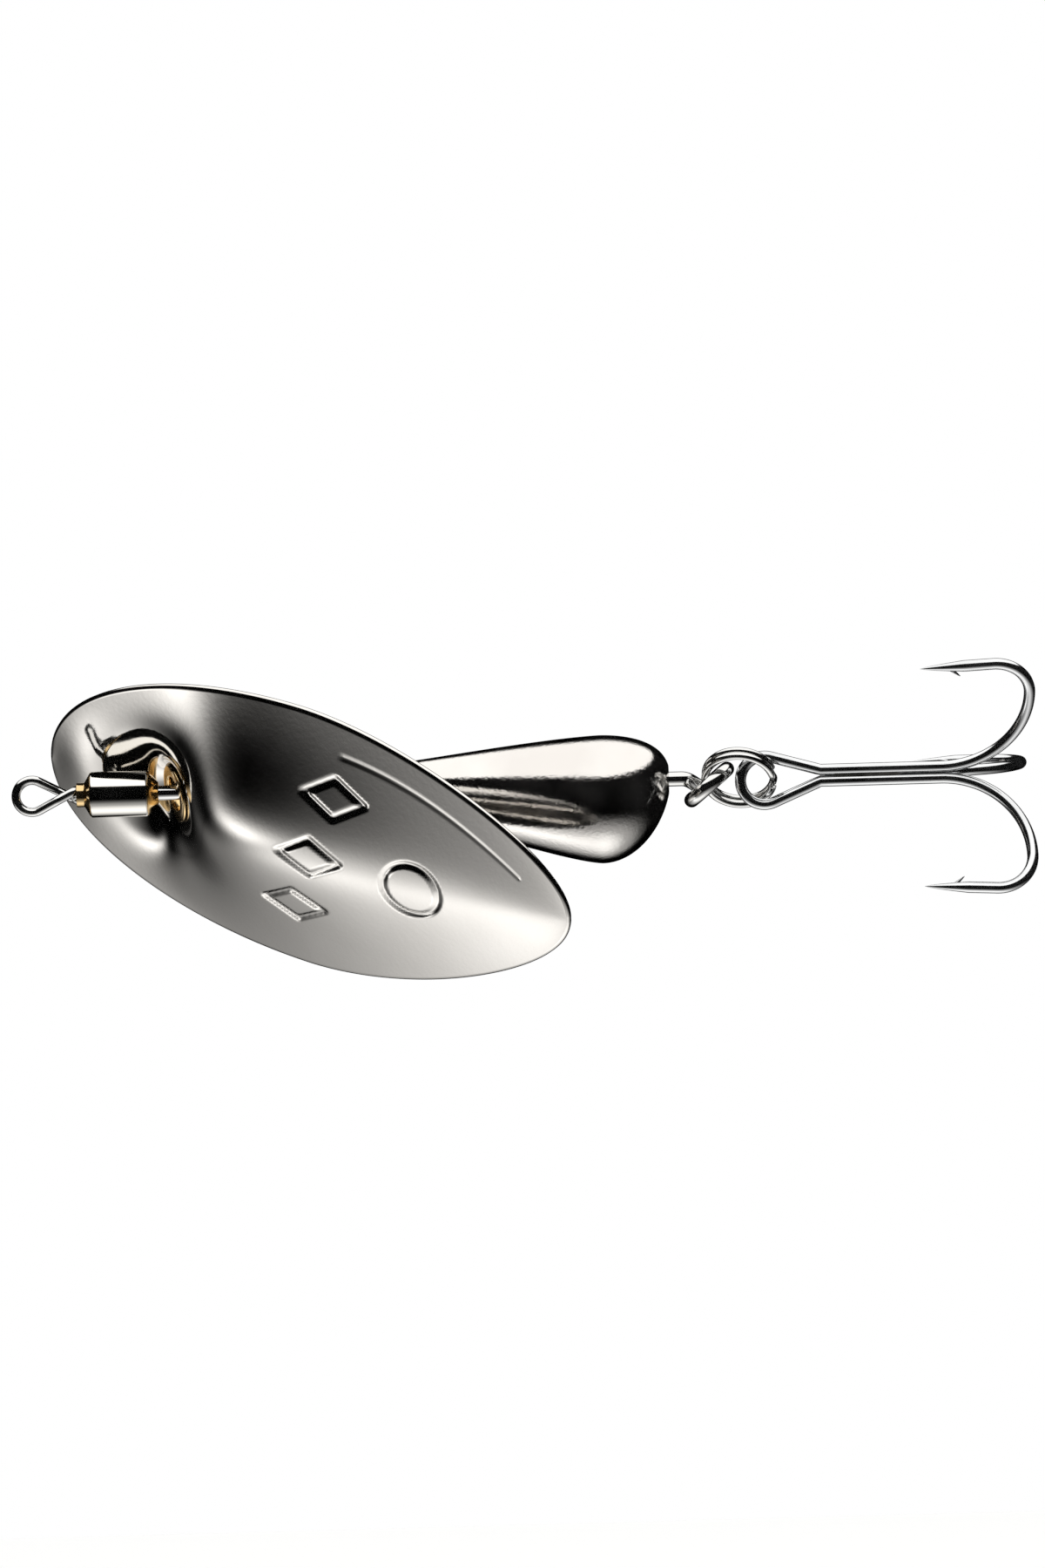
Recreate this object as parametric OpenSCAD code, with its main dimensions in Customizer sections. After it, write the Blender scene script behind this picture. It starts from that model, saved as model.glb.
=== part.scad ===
// In-line spinner: a swivel, a through-shaft S-curved blade, a weighted teardrop body,
// a split ring and a brazed treble hook, strung along one straight shaft wire.
// The shaft lies along +X, from the line eye at the origin to the hook. +Z is up.

/* [Line eye and swivel] */
// Wire diameter of the line eye
eye_wire_d = 0.52; // [0.48:0.01:0.54]
// Radius of the line eye's loop, on the wire's centre line
eye_loop_r = 0.92; // [0.8:0.02:1.1]
// Outside diameter of the swivel's plated sleeve
sleeve_d = 2.65; // [2.5:0.05:2.9]
// Distance from the line eye to the front edge of the sleeve
sleeve_x = 3.1; // [3.0:0.05:3.3]
// Length of the plated sleeve
sleeve_len = 3.3; // [3.1:0.05:3.4]

/* [Shaft] */
// Wire diameter of the shaft
shaft_d = 0.85; // [0.75:0.01:0.88]
// Radius of the shaft's rear loop, on the wire's centre line
tail_loop_r = 1.35; // [1.3:0.01:1.4]
// Distance from the line eye to the middle of the shaft's rear loop
tail_loop_x = 38.62; // [38.5:0.02:38.8]
// Slope of the rear loop's plane above the shaft
tail_loop_tilt = 40; // [36:1:42]

/* [Blade] */
// Length of the blade, tip to tip along its rim
blade_len = 34.4; // [33:0.1:35]
// Width of the blade
blade_w = 17.9; // [16:0.1:20]
// Thickness of the blade's sheet
blade_t = 0.4; // [0.3:0.05:0.45]
// Angle between the blade's rim and the shaft
blade_slope = 30.3; // [29.5:0.1:31]
// Turn of the blade about the shaft, from facing the front
blade_roll = 35; // [0:1:359]
// Depth of the hollow in front of the blade's hole
hollow_depth = 1.6; // [1.5:0.05:1.7]
// Height of the rear lobe's dome above the blade's rim
rear_lobe_height = 1.75; // [1.5:0.05:1.9]

/* [Body] */
// Distance from the line eye to the nose of the body
body_x = 11.9; // [11.8:0.1:12.4]
// Length of the body
body_len = 24.4; // [24:0.1:24.6]
// Largest diameter of the body
body_d = 7.36; // [6.5:0.02:8]
// Drop of the body's fattest section below the shaft
keel_drop = 1.05; // [0:0.05:1.2]

/* [Split ring] */
// Wire diameter of the split ring
ring_wire_d = 0.44; // [0.4:0.01:0.46]
// Outside diameter of the split ring
ring_d = 4.36; // [4.3:0.01:4.4]
// Lean of the split ring about the shaft
ring_tilt = 45; // [42:1:48]

/* [Treble hook] */
// Wire diameter of the hooks
hook_wire_d = 0.65; // [0.6:0.01:0.68]
// Radius of each hook's main bend
bend_r = 5.0; // [4.6:0.1:5.2]
// Radius of the tighter bend that leads into the point
throat_r = 2.0; // [1.8:0.1:2.2]
// Distance from the line eye to the start of the bends
bend_x = 51.9; // [51:0.1:52]
// Distance from the line eye to the hook points
point_x = 50.65; // [50:0.05:51]
// Turn of the treble about the shaft
treble_roll = 5; // [-5:1:10]

/* [Hidden] */

$fn = 48;
wire_sides = 12;
wire_inset = 0.005;

// Swivel
sleeve_end = sleeve_x + sleeve_len;
spigot_len = 0.8;
spigot_r = 1.05;
collar_r = 0.70;
collar_x = 2.3;
cone_x = 2.75;
cap_r = sleeve_d / 2 - 0.02;
leg_z = 0.28;
leg_play = 0.06;
head_r = 0.8;
head_len = 0.7;
head_gap = 0.05;
eye_centre_x = -0.27;
leg_rise = eye_wire_d * 0.53;
leg_rise_end = 1.2;
leg_fall_x = 2.1;
leg_home_x = 2.5;
rear_cap_end = 7.0;
rear_cap_end_r = 0.62;
running_gap = 0.05;

// Shaft's rear loop
tail_loop_centre = [tail_loop_x, 0.12, -0.37];
tail_loop_turn = 300;
tail_neck = 0.1;
tail_pull = 2.2;

// Blade: places along it are distances from its front tip
rim_x = 0.7;
rim_u = -4.0;
rim_taper = 0.25;
taper_power = 1.6;
rise_s = 9.9;
rise_reach = 2.8;
fall_s = 9;
fall_power = 1.9;
ridge = 0.2;
lip_height = 0.15;
lip_s = 2.2;
lip_reach = [1.8, 4];
lip_start = 0.8;
hollow_s = 7.2;
hollow_reach = [2.1, 3];
shoulder_height = 0.4;
shoulder_s = 13.5;
shoulder_reach = [7.5, 5.7];
seat_s = 8.48;
seat_tilt = 38;
seat_reach = [1.7, 2.1];
seat_height = -(rim_u + seat_s * sin(blade_slope)) / cos(blade_slope);
hole_x = rim_x + seat_s * cos(blade_slope) - seat_height * sin(blade_slope);
hole_slope = blade_slope + seat_tilt;
bush_bore_r = 1.0;
bush_neck_r = 1.28;
bush_flange_r = 1.7;
bush_flange_t = 0.16;
tip_angle = 4;

// Thrust bead
bead_r = 1.0;
bead_x = 10.5;

// Body: the swell of its nose and the drop of its keel follow powers of the distance and of the swell
nose_r = 0.6;
fat_x = body_x + 20.5;
body_end = body_x + body_len;
tail_len = 4.0;
nose_power = 1.8;
waist_power = 1.4;
keel_power = 1.5;

// Split ring
ring_centre = [40.34, -0.39, -0.02];
ring_turn = -8.3;
ring_line_r = (ring_d - ring_wire_d) / 2;
coil_pitch = ring_wire_d * 0.95;

// Treble hook
hook_eye_centre = [41.78, -0.2];
hook_eye_r = 1.38;
treble_y = -0.255;
shank_x = 45.0;
shank_r = hook_wire_d / sqrt(3) + 0.005;
point_slope = 3;
point_taper = 2.5;
tip_share = 0.08;
shoulder_share = 0.62;
barb_x = 52.3;
barb_len = 0.95;
barb_base_r = 0.2;
barb_tip_r = 0.03;
barb_lean = 42;
braze_x = 45.5;
braze_len = 4.2;

// Points of an arc in a plane, from angle a to angle b in n steps
function arc(centre, r, a, b, n) =
    [for (i = [0 : n]) let (t = a + (b - a) * i / n) centre + r * [cos(t), sin(t)]];

// List in the opposite order
function reversed(list) = [for (i = [len(list) - 1 : -1 : 0]) list[i]];

function unit(v) = v / norm(v);

// Part of v at right angles to the direction t
function across(v, t) = unit(v - (v * t) * t);

function tangent(path, i) = unit(path[min(i + 1, len(path) - 1)] - path[max(i - 1, 0)]);

// Normals carried along a path without twisting, starting from the direction n0
function normals(path, n0) =
    [for (i = 0, n = across(n0, tangent(path, 0));
          i < len(path);
          i = i + 1, n = i < len(path) ? across(n, tangent(path, i)) : n) n];

// Angle at which a straight line from point p touches a circle of radius r at the origin
function touch_angle(p, r, side) = atan2(p.y, p.x) + side * acos(r / norm(p));

// Round wire along a path, with one radius per point
module wire(path, radii, n0) {
    frames = normals(path, n0);
    last = len(path) - 1;
    points = [for (i = [0 : last]) let (t = tangent(path, i), n = frames[i], b = cross(t, n))
        for (k = [0 : wire_sides - 1]) let (a = 360 * k / wire_sides)
            path[i] + radii[i] * (cos(a) * n + sin(a) * b)];
    walls = [for (i = [0 : last - 1]) for (k = [0 : wire_sides - 1])
        let (a = i * wire_sides + k,
             b = i * wire_sides + (k + 1) % wire_sides,
             c = a + wire_sides,
             d = b + wire_sides)
        each [[a, c, b], [b, c, d]]];
    front_cap = [for (k = [1 : wire_sides - 2]) [0, k, k + 1]];
    base = last * wire_sides;
    rear_cap = [for (k = [1 : wire_sides - 2]) [base, base + k + 1, base + k]];
    polyhedron(points, concat(front_cap, walls, rear_cap), convexity = 10);
}

// Turned part: an outline of distances along the shaft and radii, spun about the shaft
module turned(outline) {
    rotate([0, 90, 0])
        rotate([0, 0, 90])
            rotate_extrude()
                polygon([for (p = outline) [p[1], p[0]]]);
}

module rod(x, length, r) {
    translate([x, 0, 0])
        rotate([0, 90, 0])
            cylinder(h = length, r = r);
}

// Line eye: a loop whose legs cross and run side by side into the swivel, where they are headed
function leg_lift(x) =
    let (away = min(1, max(0, x / leg_rise_end)),
         home = min(1, max(0, (leg_home_x - x) / (leg_home_x - leg_fall_x))))
    leg_rise * min(away, home);

// Upper half of the loop and its leg, from the front of the loop to the head
function eye_half(head_x) =
    let (leg = [collar_x - eye_centre_x, -leg_z],
         a = touch_angle(leg, eye_loop_r, 1),
         loop = arc([0, 0], eye_loop_r, 180, a, 10),
         steps = 8,
         run = [for (i = [1 : steps]) loop[10] + (leg - loop[10]) * i / steps],
         inside = [[leg_home_x + 0.1 - eye_centre_x, -leg_z], [head_x - eye_centre_x, -leg_z]],
         plane = concat(loop, run, inside))
    [for (p = plane) let (x = p.x + eye_centre_x) [x, leg_lift(x), p.y]];

module line_eye() {
    head_x = sleeve_x + spigot_len + head_gap;
    upper = eye_half(head_x + head_len / 2);
    lower = [for (p = upper) [p.x, -p.y, -p.z]];
    path = concat(reversed(upper), [for (i = [1 : len(lower) - 1]) lower[i]]);
    color("silver") {
        wire(path, [for (p = path) eye_wire_d / 2], [0, 1, 0]);
        rod(head_x, head_len, head_r);
    }
}

// Swivel
module swivel_sleeve() {
    color("gainsboro")
        difference() {
            rod(sleeve_x, sleeve_len, sleeve_d / 2);
            rod(sleeve_x - 1, sleeve_len + 2, spigot_r);
        }
}

module swivel_front_cap() {
    bore_r = leg_z + eye_wire_d / 2 + leg_play;
    color("goldenrod")
        turned([[collar_x, bore_r], [collar_x, collar_r], [cone_x, collar_r], [sleeve_x, cap_r],
            [sleeve_x, spigot_r], [sleeve_x + spigot_len, spigot_r], [sleeve_x + spigot_len, bore_r]]);
}

module swivel_rear_cap() {
    bore_r = shaft_d / 2 + running_gap;
    color("goldenrod")
        turned([[sleeve_end - spigot_len, bore_r], [sleeve_end - spigot_len, spigot_r],
            [sleeve_end, spigot_r], [sleeve_end, cap_r], [rear_cap_end, rear_cap_end_r],
            [rear_cap_end, bore_r]]);
}

// Shaft: headed inside the swivel, with a closed pigtail loop at the rear
module shaft() {
    slant = [cos(tail_loop_tilt), 0, sin(tail_loop_tilt)];
    away = [0, 1, 0];
    neck = tail_loop_x - tail_loop_r - tail_neck;
    from = [neck - 0.15, 0, 0];
    to = tail_loop_centre + tail_loop_r * away;
    lead = [for (i = [0 : 7]) let (t = i / 8, h = t * t * (3 - 2 * t))
        from * (1 - h) + to * h + tail_pull * t * (1 - t) * ((1 - t) * [1, 0, 0] - t * slant)];
    loop = [for (t = [0 : 15 : tail_loop_turn])
        tail_loop_centre + tail_loop_r * (cos(t) * away + sin(t) * slant)];
    path = concat(lead, loop);
    head_x = sleeve_end - spigot_len - head_gap - head_len;
    color("silver") {
        rod(head_x, head_len, head_r);
        rod(head_x + head_len / 2, neck - head_x - head_len / 2, shaft_d / 2);
        wire(path, [for (p = path) shaft_d / 2 - wire_inset], [0, 0, 1]);
    }
}

// Blade: an egg-shaped sheet with a low front lip, a hollow, an S-bend through its hole and a ridged
// dome behind it
function rim_half_w(s) =
    let (t = 2 * s / blade_len - 1)
    blade_w / 2 * sqrt(1 - t * t) * (1 - rim_taper * pow(max(t, 0), taper_power));

function tanh(t) = let (e = exp(2 * t)) (e - 1) / (e + 1);

function mound(s, w, centre, reach) = exp(-pow((s - centre) / reach[0], 2) - pow(w / reach[1], 2));

// Rise of the rear lobe from the hole and its fall to the tail
function rear_rise(s) =
    (1 + tanh((s - rise_s) / rise_reach)) / 2
    * (1 - pow(max(0, s - fall_s) / (blade_len - fall_s), fall_power));

// Rounded ridge, from 1 along the middle to 0 at both rims
function roof(v) = 1 - (norm([v, ridge]) - ridge) / (norm([1, ridge]) - ridge);

function dished(s, v, w) =
    rear_lobe_height * rear_rise(s) * roof(v)
    + (1 - v * v) * (lip_height * mound(s, w, lip_s, lip_reach) * tanh(s / lip_start)
        + shoulder_height * mound(s, w, shoulder_s, shoulder_reach)
        - hollow_depth * mound(s, w, hollow_s, hollow_reach));

// Height of the sheet above its rim at distance s from the front tip, at the share v of its half width
// It is flat round the hole, where the bush is set
function sheet_height(s, v) =
    let (w = v * rim_half_w(s),
         seat = exp(-pow(norm([(s - seat_s) / seat_reach[0], w / seat_reach[1]]), 6)))
    (1 - seat) * dished(s, v, w) + seat * (seat_height + (s - seat_s) * tan(seat_tilt));

module blade_sheet() {
    rows = 44;
    cols = 20;
    side = [for (i = [0 : rows]) let (a = tip_angle + (180 - 2 * tip_angle) * i / rows,
                                      s = blade_len / 2 * (1 - cos(a)))
        for (j = [0 : cols]) let (v = 2 * j / cols - 1)
            [s, -sheet_height(s, v), v * rim_half_w(s)]];
    count = len(side);
    points = concat([for (p = side) p - [0, blade_t / 2, 0]], [for (p = side) p + [0, blade_t / 2, 0]]);
    skin = [for (i = [0 : rows - 1]) for (j = [0 : cols - 1])
        let (a = i * (cols + 1) + j, b = a + 1, c = a + cols + 1, d = c + 1)
        each [[a, b, c], [b, d, c]]];
    edge = concat([for (j = [0 : cols]) j], [for (i = [1 : rows]) i * (cols + 1) + cols],
        [for (j = [cols - 1 : -1 : 0]) rows * (cols + 1) + j],
        [for (i = [rows - 1 : -1 : 1]) i * (cols + 1)]);
    walls = [for (k = [0 : len(edge) - 1]) let (a = edge[k], b = edge[(k + 1) % len(edge)])
        each [[a, a + count, b], [b, a + count, b + count]]];
    back = [for (f = skin) [f[0] + count, f[2] + count, f[1] + count]];
    polyhedron(points, concat(skin, back, walls), convexity = 6);
}

// Places a child that is centred on the blade's hole, with its axis square to the sheet
module at_hole() {
    rotate([blade_roll, 0, 0])
        translate([hole_x, 0, 0])
            rotate([0, 0, -hole_slope])
                rotate([90, 0, 0])
                    children();
}

module blade() {
    color("lightgray")
        difference() {
            rotate([blade_roll, 0, 0])
                translate([rim_x, -rim_u, 0])
                    rotate([0, 0, -blade_slope])
                        blade_sheet();
            at_hole() cylinder(h = 4, r = bush_neck_r, center = true);
        }
}

module blade_bush() {
    face = blade_t / 2 + bush_flange_t;
    color("goldenrod")
        at_hole()
            rotate_extrude()
                polygon([[bush_bore_r, -face], [bush_flange_r, -face], [bush_flange_r, -blade_t / 2],
                    [bush_neck_r, -blade_t / 2], [bush_neck_r, blade_t / 2],
                    [bush_flange_r, blade_t / 2], [bush_flange_r, face], [bush_bore_r, face]]);
}

module thrust_bead() {
    color("goldenrod")
        difference() {
            translate([bead_x, 0, 0])
                sphere(r = bead_r);
            rod(bead_x - 2, 4, shaft_d / 2 + running_gap);
        }
}

// Body: round sections that swell into a low keel near the tail
function nose_swell(t) = 1 - pow(1 - pow(t, nose_power), waist_power);

function body_r(x) = x < fat_x
    ? nose_r + (body_d / 2 - nose_r) * nose_swell((x - body_x) / (fat_x - body_x))
    : body_d / 2 * sqrt(1 - pow((x - fat_x) / tail_len, 2));

function body_drop(x) =
    keel_drop * pow(max(0, body_r(x) - nose_r) / (body_d / 2 - nose_r), keel_power);

module body() {
    front = [for (i = [0 : 14]) body_x + (fat_x - body_x) * i / 14];
    rear = [for (a = [10 : 10 : 70]) fat_x + tail_len * sin(a)];
    stations = concat(front, rear, [body_end]);
    sides = 32;
    last = len(stations) - 1;
    points = [for (x = stations) for (k = [0 : sides - 1]) let (a = 360 * k / sides)
        [x, body_r(x) * cos(a), body_r(x) * sin(a) - body_drop(x)]];
    walls = [for (i = [0 : last - 1]) for (k = [0 : sides - 1])
        let (a = i * sides + k, b = i * sides + (k + 1) % sides, c = a + sides, d = b + sides)
        each [[a, c, b], [b, c, d]]];
    nose = [for (k = [1 : sides - 2]) [0, k, k + 1]];
    tail = [for (k = [1 : sides - 2]) [last * sides, last * sides + k + 1, last * sides + k]];
    color("darkgray")
        difference() {
            polyhedron(points, concat(nose, walls, tail), convexity = 4);
            rod(body_x - 1, body_len + 2, shaft_d / 2 + running_gap);
        }
}

// Split ring: two touching coils
module split_ring() {
    color("silver")
        translate(ring_centre)
            rotate([90 + ring_tilt, 0, ring_turn])
                for (side = [-1, 1])
                    translate([0, 0, side * coil_pitch / 2])
                        rotate_extrude()
                            translate([ring_line_r, 0])
                                circle(d = ring_wire_d, $fn = 24);
}

// One hook from its shank to its point, as distances along and away from the treble's axis
function hook_profile() =
    let (bend_centre = [bend_x, shank_r + bend_r],
         throat_centre = [bend_x + bend_r - throat_r, shank_r + bend_r],
         bend = arc(bend_centre, bend_r, -90, 0, 10),
         throat = arc(throat_centre, throat_r, 0, 90 + point_slope, 8),
         start = throat[8],
         straight = start.x - point_x,
         point = [for (x = [straight - point_taper, straight - point_taper / 2, straight])
             start - x * [1, tan(point_slope)]])
    concat(bend, [for (i = [1 : 8]) throat[i]], point);

// The same hook in space, lying in the half plane at angle a about the shaft
function hook_path(a) =
    [for (p = hook_profile()) [p.x, p.y * cos(a + treble_roll), p.y * sin(a + treble_roll)]];

function hook_radii(path) =
    let (last = len(path) - 1)
    [for (i = [0 : last]) hook_wire_d / 2 * (i == last ? tip_share : i == last - 1 ? shoulder_share : 1)];

// Barb raised on the inner side of the wire, leaning back towards the bend
module barb(a) {
    throat_end = hook_profile()[18];
    drop = (throat_end.x - barb_x) * tan(point_slope);
    rotate([a + treble_roll - 90, 0, 0])
        translate([barb_x, 0, throat_end.y - drop])
            rotate([0, 90 + barb_lean, 0])
                cylinder(h = barb_len, r1 = barb_base_r, r2 = barb_tip_r, $fn = 12);
}

// Two hooks bent from one wire, whose middle forms the treble's eye
module hook_pair() {
    upper = hook_path(120);
    lower = hook_path(240);
    rise = shank_r * sin(60);
    setback = shank_r * cos(120);
    top = [shank_x - hook_eye_centre.x, rise - hook_eye_centre.y];
    bottom = [shank_x - hook_eye_centre.x, -rise - hook_eye_centre.y];
    loop = arc(hook_eye_centre, hook_eye_r, touch_angle(top, hook_eye_r, 1),
        touch_angle(bottom, hook_eye_r, -1) + 360, 16);
    flat = concat([[shank_x, rise]], loop, [[shank_x, -rise]]);
    eye = [for (p = flat) [p.x, setback * cos(treble_roll) - p.y * sin(treble_roll),
        setback * sin(treble_roll) + p.y * cos(treble_roll)]];
    path = concat(reversed(upper), eye, lower);
    radii = concat(reversed(hook_radii(upper)), [for (p = eye) hook_wire_d / 2], hook_radii(lower));
    color("lightsteelblue")
        translate([0, treble_y, 0]) {
            wire(path, radii, [0, 1, 0]);
            barb(120);
            barb(240);
        }
}

module third_hook() {
    path = concat([[shank_x + 0.3, shank_r * cos(treble_roll), shank_r * sin(treble_roll)]], hook_path(0));
    color("lightsteelblue")
        translate([0, treble_y, 0]) {
            wire(path, concat([hook_wire_d / 2], hook_radii(hook_path(0))), [0, 0, 1]);
            barb(0);
        }
}

// Braze that fills the grooves between the three shanks
module hook_braze() {
    color("darkkhaki")
        translate([braze_x, treble_y, 0])
            rotate([treble_roll, 0, 0])
                rotate([90, 0, 90])
                    linear_extrude(braze_len)
                        hull()
                            for (a = [0 : 120 : 240])
                                rotate(a)
                                    translate([shank_r, 0])
                                        circle(r = hook_wire_d * 0.4, $fn = 32);
}

line_eye();
swivel_sleeve();
swivel_front_cap();
swivel_rear_cap();
shaft();
blade();
blade_bush();
thrust_bead();
body();
split_ring();
hook_pair();
third_hook();
hook_braze();
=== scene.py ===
import math

import bpy
import numpy as np
from mathutils import Matrix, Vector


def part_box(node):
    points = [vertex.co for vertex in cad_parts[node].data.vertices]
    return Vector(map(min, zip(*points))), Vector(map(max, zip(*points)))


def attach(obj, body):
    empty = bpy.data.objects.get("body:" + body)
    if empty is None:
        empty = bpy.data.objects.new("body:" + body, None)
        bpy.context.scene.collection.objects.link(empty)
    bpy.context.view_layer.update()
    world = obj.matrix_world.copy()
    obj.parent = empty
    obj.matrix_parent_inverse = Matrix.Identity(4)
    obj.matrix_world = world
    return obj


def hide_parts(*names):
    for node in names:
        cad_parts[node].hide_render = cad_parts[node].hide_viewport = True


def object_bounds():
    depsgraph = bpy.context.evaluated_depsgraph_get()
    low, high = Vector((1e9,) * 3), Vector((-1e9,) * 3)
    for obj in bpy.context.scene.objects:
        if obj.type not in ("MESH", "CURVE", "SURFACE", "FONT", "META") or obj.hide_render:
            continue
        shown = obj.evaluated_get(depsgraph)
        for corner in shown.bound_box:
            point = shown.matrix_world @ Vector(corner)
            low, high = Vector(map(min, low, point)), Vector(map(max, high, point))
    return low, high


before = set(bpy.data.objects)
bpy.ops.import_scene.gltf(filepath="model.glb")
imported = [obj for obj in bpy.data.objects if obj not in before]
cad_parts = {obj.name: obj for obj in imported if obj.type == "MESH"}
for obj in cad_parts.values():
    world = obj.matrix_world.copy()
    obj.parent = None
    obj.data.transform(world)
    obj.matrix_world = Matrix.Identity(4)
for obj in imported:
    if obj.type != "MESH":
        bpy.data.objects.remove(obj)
cad_low, cad_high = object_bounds()

# Shapes are worked out in millimetres, as the part's own dimensions are, and stored in metres
MM = 0.001
X_AXIS = np.array([1.0, 0.0, 0.0])
Y_AXIS = np.array([0.0, 1.0, 0.0])
Z_AXIS = np.array([0.0, 0.0, 1.0])


def span(node):
    """First and last place of a node along the shaft, in millimetres."""
    low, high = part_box(node)
    return low.x / MM, high.x / MM


# ---------------------------------------------------------------- dimensions

EYE_WIRE_D = 0.52
EYE_LOOP_R = 0.92
EYE_CENTRE_X = -0.27
LEG_Z = 0.28
HEAD_R = 0.8
HEAD_LEN = 0.7

SLEEVE_START, SLEEVE_END = span("swivel_sleeve")
SLEEVE_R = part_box("swivel_sleeve")[1].y / MM
SPIGOT_R = 1.05
SPIGOT_LEN = 0.8
COLLAR_R = 0.7
CONE_X = 2.75
FRONT_CAP_X = span("swivel_front_cap")[0]
REAR_CAP_END = span("swivel_rear_cap")[1]
REAR_CAP_END_R = 0.62
LEG_BORE_R = LEG_Z + EYE_WIRE_D / 2 + 0.06

SHAFT_D = 0.85
SHAFT_BORE_R = SHAFT_D / 2 + 0.05
SHAFT_START = span("shaft")[0]
TAIL_LOOP_R = 1.35
TAIL_LOOP_TILT = 40
TAIL_LOOP_CENTRE = np.array([38.62, 0.12, -0.37])
TAIL_PULL = 2.2

BLADE_LEN = 34.4
BLADE_W = 17.9
BLADE_T = 0.4
BLADE_SLOPE = 30.3
BLADE_ROLL = 35
RIM_X = 0.7
RIM_U = -4.0
RIM_TAPER = 0.25
TAPER_POWER = 1.6
# Relief of the blade: its places are distances from the front tip, and reaches are along and across it
RISE_S = 9.9
RISE_REACH = 2.8
FALL_S = 9
FALL_POWER = 1.9
RIDGE = 0.2
LIP_HEIGHT = 0.15
LIP_S = 2.2
LIP_REACH = (1.8, 4)
LIP_START = 0.8
HOLLOW_DEPTH = 1.6
HOLLOW_S = 7.2
HOLLOW_REACH = (2.1, 3)
REAR_LOBE_HEIGHT = 1.75
SHOULDER_HEIGHT = 0.4
SHOULDER_S = 13.5
SHOULDER_REACH = (7.5, 5.7)
SEAT_S = 8.48
SEAT_TILT = 38
SEAT_REACH = (1.7, 2.1)
BUSH_BORE_R = 1.0
BUSH_NECK_R = 1.28
BUSH_FLANGE_R = 1.7
BUSH_FLANGE_T = 0.16

BEAD_R = 1.0
BEAD_X = sum(span("thrust_bead")) / 2

BODY_X, BODY_END = span("body")
BODY_R = 3.68
NOSE_R = 0.6
FAT_X = BODY_X + 20.5
TAIL_LEN = 4.0
KEEL_DROP = 1.05

RING_WIRE_D = 0.44
RING_LINE_R = 1.96
RING_CENTRE = (40.34, -0.39, -0.02)
RING_TILT = 45
RING_TURN = -8.3

HOOK_WIRE_D = 0.65
BEND_R = 5.0
THROAT_R = 2.0
BEND_X = 51.9
POINT_X = 50.65
POINT_SLOPE = 3
POINT_TAPER = 2.5
BARB_X = 52.3
BARB_LEN = 0.95
BARB_LEAN = 42
TREBLE_ROLL = 5
TREBLE_Y = -0.255
HOOK_EYE_CENTRE = (41.78, -0.2)
HOOK_EYE_R = 1.38
SHANK_X = 45.0
SHANK_R = HOOK_WIRE_D / math.sqrt(3) + 0.005
BRAZE_START, BRAZE_END = span("hook_braze")


# ---------------------------------------------------------------- mesh tools

def unit(v):
    return v / np.linalg.norm(v)


def arc(centre, r, start, end, steps):
    """Points of an arc in a plane, between two angles in degrees."""
    t = np.radians(np.linspace(start, end, steps + 1))
    return np.column_stack([centre[0] + r * np.cos(t), centre[1] + r * np.sin(t)])


def touch_angle(point, r, side):
    """Angle at which a straight line from a point touches a circle of radius r at the origin."""
    away = math.degrees(math.acos(r / math.hypot(*point)))
    return math.degrees(math.atan2(point[1], point[0])) + side * away


def loft(rings, closed=False):
    """Skin over a row of rings. Closed joins the last ring to the first, or else both ends are capped."""
    rings = np.asarray(rings, float)
    count, sides = rings.shape[:2]
    faces = []
    for i in range(count if closed else count - 1):
        here, there = i * sides, (i + 1) % count * sides
        for k in range(sides):
            after = (k + 1) % sides
            faces.append((here + k, here + after, there + after, there + k))
    if not closed:
        faces.append(tuple(range(sides - 1, -1, -1)))
        faces.append(tuple(range((count - 1) * sides, count * sides)))
    return rings.reshape(-1, 3), faces


def tube(path, radii, normal, sides=20, flat=1.0):
    """Round wire along a path, with one radius per point; flat narrows it along the normal."""
    path = np.asarray(path, float)
    turns = np.linspace(0, 2 * math.pi, sides, endpoint=False)
    rings = []
    for point, tangent, r in zip(path, np.gradient(path, axis=0), radii):
        tangent = unit(tangent)
        normal = unit(normal - normal @ tangent * tangent)
        side = np.cross(tangent, normal)
        rings.append([point + r * (flat * math.cos(a) * normal + math.sin(a) * side) for a in turns])
    return loft(rings)


def blunt(path, radii, edge):
    """The same wire with the edges of both its cut ends rounded."""
    path, radii = np.asarray(path, float), np.asarray(radii, float)
    first, last = unit(path[0] - path[1]), unit(path[-1] - path[-2])
    turns = np.radians(np.linspace(90, 18, 5))
    inset = edge * np.sin(turns)
    trim = edge * np.cos(turns)
    start = np.array([path[0] - first * (edge - out) for out in trim])
    end = np.array([path[-1] - last * (edge - out) for out in trim[::-1]])
    narrow = edge - inset
    return (np.vstack([start[::-1], path[1:-1], end[::-1]]),
            np.concatenate([(radii[0] - narrow)[::-1], radii[1:-1], radii[-1] - narrow]))


def rounded(outline, radius, steps=4):
    """Closed outline with its corners rounded."""
    points = []
    for i, corner in enumerate(outline):
        corner = np.array(corner, float)
        ends = []
        for neighbour in (outline[i - 1], outline[(i + 1) % len(outline)]):
            side = np.array(neighbour, float) - corner
            ends.append(corner + side * min(0.45, radius / np.linalg.norm(side)))
        for t in np.linspace(0, 1, steps + 1):
            points.append((1 - t) ** 2 * ends[0] + 2 * t * (1 - t) * corner + t * t * ends[1])
    return points


def turned(outline, sides=96):
    """Outline of places along an axis and radii, spun about +X."""
    turns = np.linspace(0, 2 * math.pi, sides, endpoint=False)
    return loft([[(x, r * math.cos(a), r * math.sin(a)) for a in turns] for x, r in outline], closed=True)


def shade(mesh):
    """Smooth shading that keeps sharp edges sharp."""
    mesh.shade_smooth()
    mesh.set_sharp_from_angle(angle=math.radians(40))


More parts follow.
